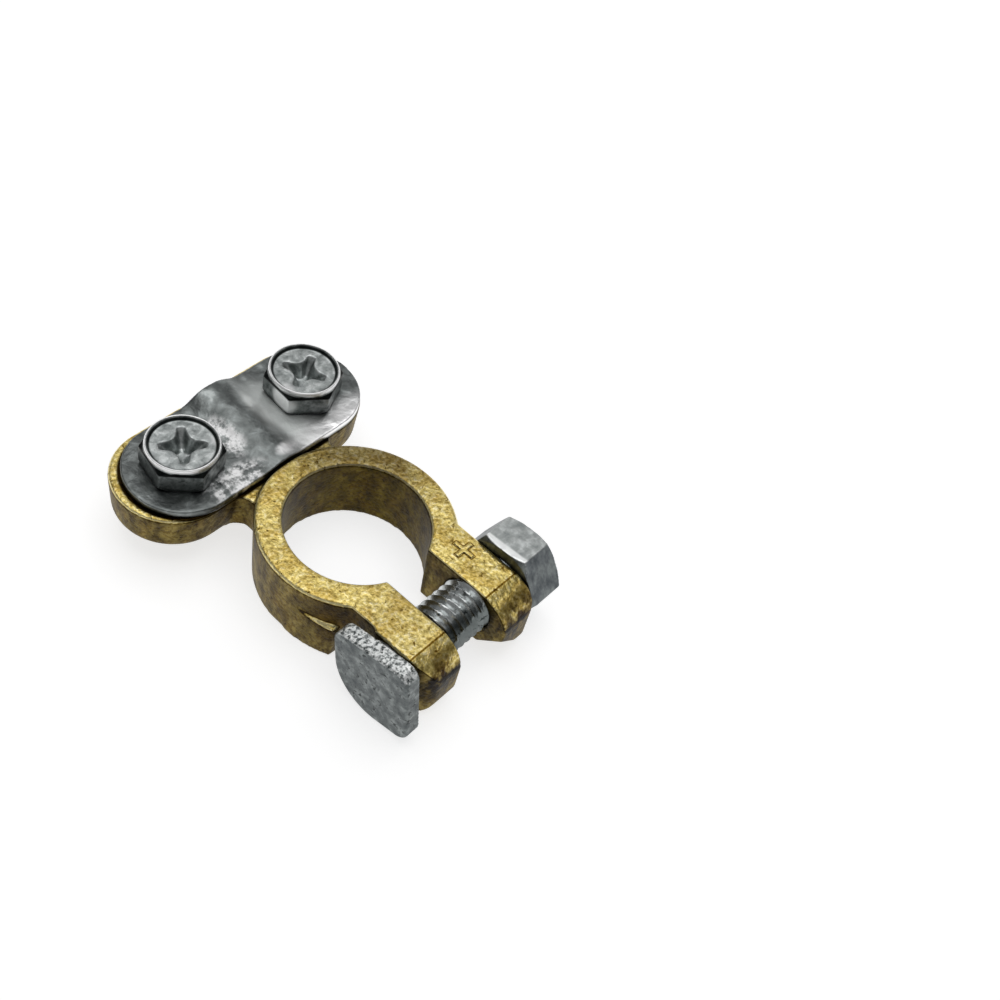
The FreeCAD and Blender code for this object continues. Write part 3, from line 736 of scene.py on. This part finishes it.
def bolt_zinc():
    """Zinc-plated forged steel: a pocked face in painted shade, a frosted top edge with painted light
    over its speckle, and a bright rolled thread with painted shade low on its front.
    """
    material, tree, place, facing, at = new_material("zinc_on_forged_bolt")
    clouds = node(
        tree, "ShaderNodeTexNoise", take="Fac", links={"Vector": place},
        inputs={"Scale": 0.7, "Detail": 5.0, "Roughness": 0.6},
    )
    frost = node(
        tree, "ShaderNodeTexNoise", take="Fac", links={"Vector": place},
        inputs={"Scale": 2.0, "Detail": 4.0, "Roughness": 0.6},
    )
    scale_pits = node(
        tree, "ShaderNodeTexNoise", take="Fac", links={"Vector": place},
        inputs={"Scale": 1.3, "Detail": 3.0, "Roughness": 0.5, "Distortion": 0.9},
    )
    dull = node(
        tree, "ShaderNodeValToRGB", take="Color", links={"Fac": clouds},
        stops=[(0.34, "515657"), (0.5, "6C7171"), (0.64, "8E9392")],
    )
    frosted = node(
        tree, "ShaderNodeValToRGB", take="Color", links={"Fac": frost},
        stops=[(0.38, "555A5A"), (0.47, "B4B8B7"), (0.56, "F8FAF9")],
    )
    thread = node(
        tree, "ShaderNodeValToRGB", take="Color", links={"Fac": clouds},
        stops=[(0.3, "B4B8B8"), (0.5, "CCD0D0"), (0.7, "E6E9E9")],
    )
    upward = node(
        tree, "ShaderNodeMapRange", take="Result", interpolation_type="SMOOTHSTEP",
        links={"Value": facing["Z"]}, inputs=between(0.35, 0.75),
    )
    past_head = node(
        tree, "ShaderNodeMapRange", take="Result", links={"Value": at["X"]},
        inputs=between(BOLT_HEAD_INNER_X + 0.1, BOLT_HEAD_INNER_X + 0.3),
    )
    # Painted shade on the face, and painted light over the frosted speckle on the top edge.
    head = node(
        tree, "ShaderNodeMix", take=2, data_type="RGBA", links={0: upward, 6: dull, 7: frosted}
    )
    colour = node(
        tree, "ShaderNodeMix", take=2, data_type="RGBA", links={0: past_head, 6: head, 7: thread}
    )
    # Painted shade on the thread's low front side.
    low_front = node(
        tree, "ShaderNodeMapRange", take="Result", interpolation_type="SMOOTHSTEP",
        links={"Value": at["Y"]}, inputs=between(BOLT_AXIS.y - 3.0, BOLT_AXIS.y - 1.2, 1.0, 0.0),
    )
    shaded_underside = node(
        tree, "ShaderNodeMath", take=0, operation="MULTIPLY", links={0: past_head, 1: low_front}
    )
    pitted = node(
        tree, "ShaderNodeMapRange", take="Result", interpolation_type="SMOOTHSTEP",
        links={"Value": scale_pits}, inputs=between(0.34, 0.43, 1.0, 0.0),
    )
    in_cluster = node(
        tree, "ShaderNodeMapRange", take="Result", interpolation_type="SMOOTHSTEP",
        links={"Value": clouds}, inputs=between(0.42, 0.56),
    )
    pocks = node(
        tree, "ShaderNodeMath", take=0, operation="MULTIPLY", links={0: pitted, 1: in_cluster}
    )
    for share, tint in ((shaded_underside, "848887"), (pocks, "7E8281")):
        colour = node(
            tree, "ShaderNodeMix", take=2, data_type="RGBA", blend_type="MULTIPLY",
            links={0: share, 6: colour}, inputs={7: linear(tint)},
        )
    rough = node(
        tree, "ShaderNodeMapRange", take="Result", links={"Value": past_head},
        inputs=between(0.0, 1.0, 0.48, 0.26),
    )
    forged = node(
        tree, "ShaderNodeMapRange", take="Result", links={"Value": past_head},
        inputs=between(0.0, 1.0, 0.75, 0.03),
    )
    dented = node(
        tree, "ShaderNodeBump", take="Normal", links={"Height": clouds, "Strength": forged},
        inputs={"Distance": 0.0003},
    )
    pocked = node(
        tree, "ShaderNodeBump", take="Normal", invert=True,
        links={"Height": pocks, "Normal": dented, "Strength": forged},
        inputs={"Distance": 0.00015},
    )
    metal_surface(tree, colour, rough, pocked)
    return material


def nut_zinc():
    """Zinc-plated steel nut: a matt top flat in painted light with a painted highlight on its bevel, and
    darker sides in painted shade with faint marks.
    """
    material, tree, place, facing, at = new_material("zinc_on_nut")
    clouds = node(
        tree, "ShaderNodeTexNoise", take="Fac", links={"Vector": place},
        inputs={"Scale": 0.7, "Detail": 5.0, "Roughness": 0.62},
    )
    upright = node(
        tree, "ShaderNodeMapping", take="Vector", links={"Vector": place},
        inputs={"Scale": (1.0, 1.0, 0.3)},
    )
    marks = node(
        tree, "ShaderNodeTexNoise", take="Fac", links={"Vector": upright},
        inputs={"Scale": 0.9, "Detail": 5.0, "Roughness": 0.6},
    )
    light = node(
        tree, "ShaderNodeValToRGB", take="Color", links={"Fac": clouds},
        stops=[(0.34, "959A99"), (0.5, "B2B6B5"), (0.66, "D6DAD9")],
    )
    dark = node(
        tree, "ShaderNodeValToRGB", take="Color", links={"Fac": marks},
        stops=[(0.34, "54595C"), (0.5, "6C7173"), (0.66, "868C8B")],
    )
    upward = node(
        tree, "ShaderNodeMapRange", take="Result", interpolation_type="SMOOTHSTEP",
        links={"Value": facing["Z"]}, inputs=between(0.55, 0.85),
    )
    # Painted light on the top flat and painted shade on the sides.
    colour = node(
        tree, "ShaderNodeMix", take=2, data_type="RGBA", links={0: upward, 6: dark, 7: light}
    )
    # Painted highlight on the top's bevel next to the ear.
    near_ear = node(
        tree, "ShaderNodeMapRange", take="Result", interpolation_type="SMOOTHSTEP",
        links={"Value": at["X"]}, inputs=between(NUT_INNER_X + 0.9, NUT_INNER_X + 1.3, 1.0, 0.0),
    )
    bevel_highlight = node(
        tree, "ShaderNodeMath", take=0, operation="MULTIPLY", links={0: near_ear, 1: upward}
    )
    colour = node(
        tree, "ShaderNodeMix", take=2, data_type="RGBA",
        links={0: bevel_highlight, 6: colour}, inputs={7: linear("FCFEFD")},
    )
    rough = node(
        tree, "ShaderNodeMapRange", take="Result", links={"Value": clouds},
        inputs=between(0.3, 0.7, 0.5, 0.34),
    )
    dented = node(
        tree, "ShaderNodeBump", take="Normal", links={"Height": clouds},
        inputs={"Strength": 0.4, "Distance": 0.0002},
    )
    metal_surface(tree, colour, rough, dented)
    return material


def dress(piece, material, body, slot, *nodes):
    """Finishes a piece: its material, the body it rides on and the solids it stands for."""
    piece.data.materials.clear()
    piece.data.materials.append(material)
    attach(piece, body)
    if nodes:
        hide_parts(*nodes)


# Pieces

def casting(brass):
    piece = copy_of_node("clamp_body", "clamp_casting")
    soften(piece, voxel=0.24, rounds=4)

    def at_foot_edge(place, normal):
        return 1.0 if place.z < FOOT_EDGE_HEIGHT and abs(normal.z) < 0.98 else 0.0

    def on_dressed_top(place, normal):
        return 1.0 if place.z > RING_TOP - DRESSED_TOP_DEPTH and normal.z > 0.8 else 0.0

    rub_round(piece, "foot_edges", rounds=10, weight_at=at_foot_edge)
    roughen(piece, "casting_lumps", lump=1.6, height=0.12, weight_at=on_dressed_top)
    dress(piece, brass, "clamp_body", "cast_brass", "clamp_body")


def plus_mark(brass):
    """Raised plus on the right ear, with round-backed arms."""
    x, y = PLUS_MARK_AT
    arms = []
    for size in ((PLUS_ARM_X, PLUS_ARM_WIDTH, PLUS_HEIGHT), (PLUS_ARM_WIDTH, PLUS_ARM_Y, PLUS_HEIGHT)):
        bpy.ops.object.select_all(action="DESELECT")
        bpy.ops.mesh.primitive_cube_add(size=1, location=(x * MM, y * MM, RING_TOP * MM))
        arm = bpy.context.object
        arm.scale = [value * MM for value in size]
        bpy.ops.object.transform_apply(location=True, rotation=True, scale=True)
        arms.append(arm)
    arms[0].select_set(True)
    bpy.ops.object.join()
    mark = bpy.context.object
    mark.name = "plus_mark"
    mark.data.name = "plus_mark"
    soften(mark, voxel=0.07, rounds=6)
    dress(mark, brass, "clamp_body", "cast_brass")


def strap(zinc):
    piece = copy_of_node("saddle_plate", "pressed_strap")
    soften(piece, voxel=0.16, rounds=6)

    def on_open_top(place, normal):
        if normal.z < 0.5:
            return 0.0
        clear = min((place - axis).xy.length for axis in SCREW_AXES.values()) - SCREW_SEAT_RADIUS
        return min(1.0, max(0.0, clear / SCREW_SEAT_FADE))

    roughen(piece, "press_dents", lump=3.2, height=0.14, weight_at=on_open_top)
    dress(piece, zinc, "saddle_plate", "zinc_plate", "saddle_plate")


def screw(side, zinc):
    axis = SCREW_AXES[side]
    node_name = "cable_screw_" + side
    head = copy_of_node(node_name, side + "_cable_screw")
    cut_plane(head, (axis.x, axis.y, PLATE_TOP - SHANK_STUB), (0, 0, 1), clear_outer=False)
    soften(head, voxel=0.11, rounds=5)

    def in_recess(place, normal):
        near_axis = (place - axis).xy.length < RUBBED_RECESS_RADIUS
        return 1.0 if near_axis and place.z > SCREW_TOP - RUBBED_RECESS_DEPTH else 0.0

    rub_round(head, "worn_recess", rounds=14, weight_at=in_recess)
    rod = threaded_rod(
        side + "_screw_thread", SCREW_THREAD_RADIUS, SCREW_PITCH, SCREW_THREAD_LENGTH, SCREW_THREAD_POINT
    )
    join_rod(head, rod, (axis.x, axis.y, PLATE_TOP - ROD_START), (math.pi, 0, 0))
    dress(head, zinc, node_name, "zinc_%s_screw" % side, node_name)


def bolt(zinc):
    head = copy_of_node("pinch_bolt", "square_head_bolt")
    stub_end = (BOLT_HEAD_INNER_X + SHANK_STUB, BOLT_AXIS.y, BOLT_AXIS.z)
    cut_plane(head, stub_end, (1, 0, 0), clear_outer=True)
    soften(head, voxel=0.13, rounds=5)
    rod = threaded_rod(
        "bolt_thread", BOLT_THREAD_RADIUS, BOLT_PITCH, BOLT_THREAD_LENGTH, BOLT_THREAD_POINT
    )
    rod_place = (BOLT_HEAD_INNER_X + ROD_START, BOLT_AXIS.y, BOLT_AXIS.z)
    join_rod(head, rod, rod_place, (0, math.pi / 2, 0))
    dress(head, zinc, "pinch_bolt", "zinc_bolt", "pinch_bolt")


def nut(zinc):
    piece = copy_of_node("pinch_nut", "hexagon_nut")
    soften(piece, voxel=0.13, rounds=4)
    dress(piece, zinc, "pinch_nut", "zinc_nut", "pinch_nut")


# Room

def white_paper():
    """White paper that shows white to the eye and in the metal, and still takes a soft shadow."""
    material = bpy.data.materials.new("white_paper")
    material.use_nodes = True
    tree = material.node_tree
    tree.nodes.clear()
    path = node(tree, "ShaderNodeLightPath")
    seen = node(
        tree, "ShaderNodeMath", take=0, operation="MAXIMUM",
        links={0: path.outputs["Is Camera Ray"], 1: path.outputs["Is Glossy Ray"]},
    )
    seen = node(
        tree, "ShaderNodeMath", take=0, operation="MAXIMUM",
        links={0: seen, 1: path.outputs["Is Transmission Ray"]},
    )
    paper = node(tree, "ShaderNodeBsdfDiffuse", take=0, inputs={"Color": linear("C8C8C8")})
    glow = node(
        tree, "ShaderNodeEmission", take=0, inputs={"Color": (1, 1, 1, 1), "Strength": 0.72}
    )
    both = node(tree, "ShaderNodeAddShader", take=0, links={0: paper, 1: glow})
    mix = node(tree, "ShaderNodeMixShader", take=0, links={0: seen, 1: paper, 2: both})
    node(tree, "ShaderNodeOutputMaterial", links={"Surface": mix})
    return material


def paper_sweep():
    """Round sheet of white paper under the clamp, turned up all round its rim."""
    bpy.ops.object.select_all(action="DESELECT")
    bpy.ops.mesh.primitive_circle_add(
        vertices=96, radius=3.0, fill_type="NGON", location=(0, 0, -0.05 * MM)
    )
    floor = bpy.context.object
    floor.name = "floor"
    bpy.ops.object.mode_set(mode="EDIT")
    bpy.ops.mesh.select_mode(type="EDGE")
    bpy.ops.mesh.select_all(action="SELECT")
    bpy.ops.mesh.region_to_loop()
    bpy.ops.mesh.extrude_edges_move(TRANSFORM_OT_translate={"value": (0, 0, 0.5)})
    bpy.ops.object.mode_set(mode="OBJECT")
    floor.data.materials.append(white_paper())


def softbox(name, direction, distance, width, height, power, turn=None):
    """Flat lamp in a direction from the clamp, facing it, or level and turned about the upright."""
    light = bpy.data.lights.new(name, "AREA")
    light.shape = "RECTANGLE"
    light.size = width
    light.size_y = height
    light.energy = power
    lamp = bpy.data.objects.new(name, light)
    bpy.context.scene.collection.objects.link(lamp)
    lamp.location = Vector(direction).normalized() * distance
    if turn is None:
        lamp.rotation_euler = (-lamp.location).to_track_quat("-Z", "Y").to_euler()
    else:
        lamp.rotation_euler = (0, 0, math.radians(turn))


def studio():
    world = bpy.data.worlds.new("studio")
    bpy.context.scene.world = world
    world.use_nodes = True
    tree = world.node_tree
    tree.nodes.clear()
    room = node(
        tree, "ShaderNodeBackground", take=0, inputs={"Color": (1, 1, 1, 1), "Strength": 0.22}
    )
    node(tree, "ShaderNodeOutputWorld", links={"Surface": room})
    softbox("overhead", (0.19, 0.16, 1.0), distance=1.03, width=1.1, height=1.1, power=4.6, turn=40)
    softbox("behind", (0.62, 0.56, 0.3), distance=1.0, width=1.4, height=0.5, power=1.2)


def camera():
    """Camera that looks down on the clamp at the photograph's angle."""
    made = bpy.data.cameras.new("camera")
    made.lens = 48.8746
    made.sensor_width = 36.0
    made.clip_start = 0.01
    eye = bpy.data.objects.new("camera", made)
    bpy.context.scene.collection.objects.link(eye)
    eye.location = (-0.0925496, -0.0673204, 0.1546136)
    eye.rotation_euler = [math.radians(angle) for angle in (39.596, -11.5426, -49.0509)]
    bpy.context.scene.camera = eye


brass = cast_brass()
casting(brass)
plus_mark(brass)
strap(pressed_zinc())
for side, axis in SCREW_AXES.items():
    screw(side, screw_zinc("zinc_on_%s_screw" % side, axis, BRIGHT_FLATS[side]))
bolt(bolt_zinc())
nut(nut_zinc())
paper_sweep()
studio()
camera()

bpy.context.scene.view_settings.view_transform = "Standard"
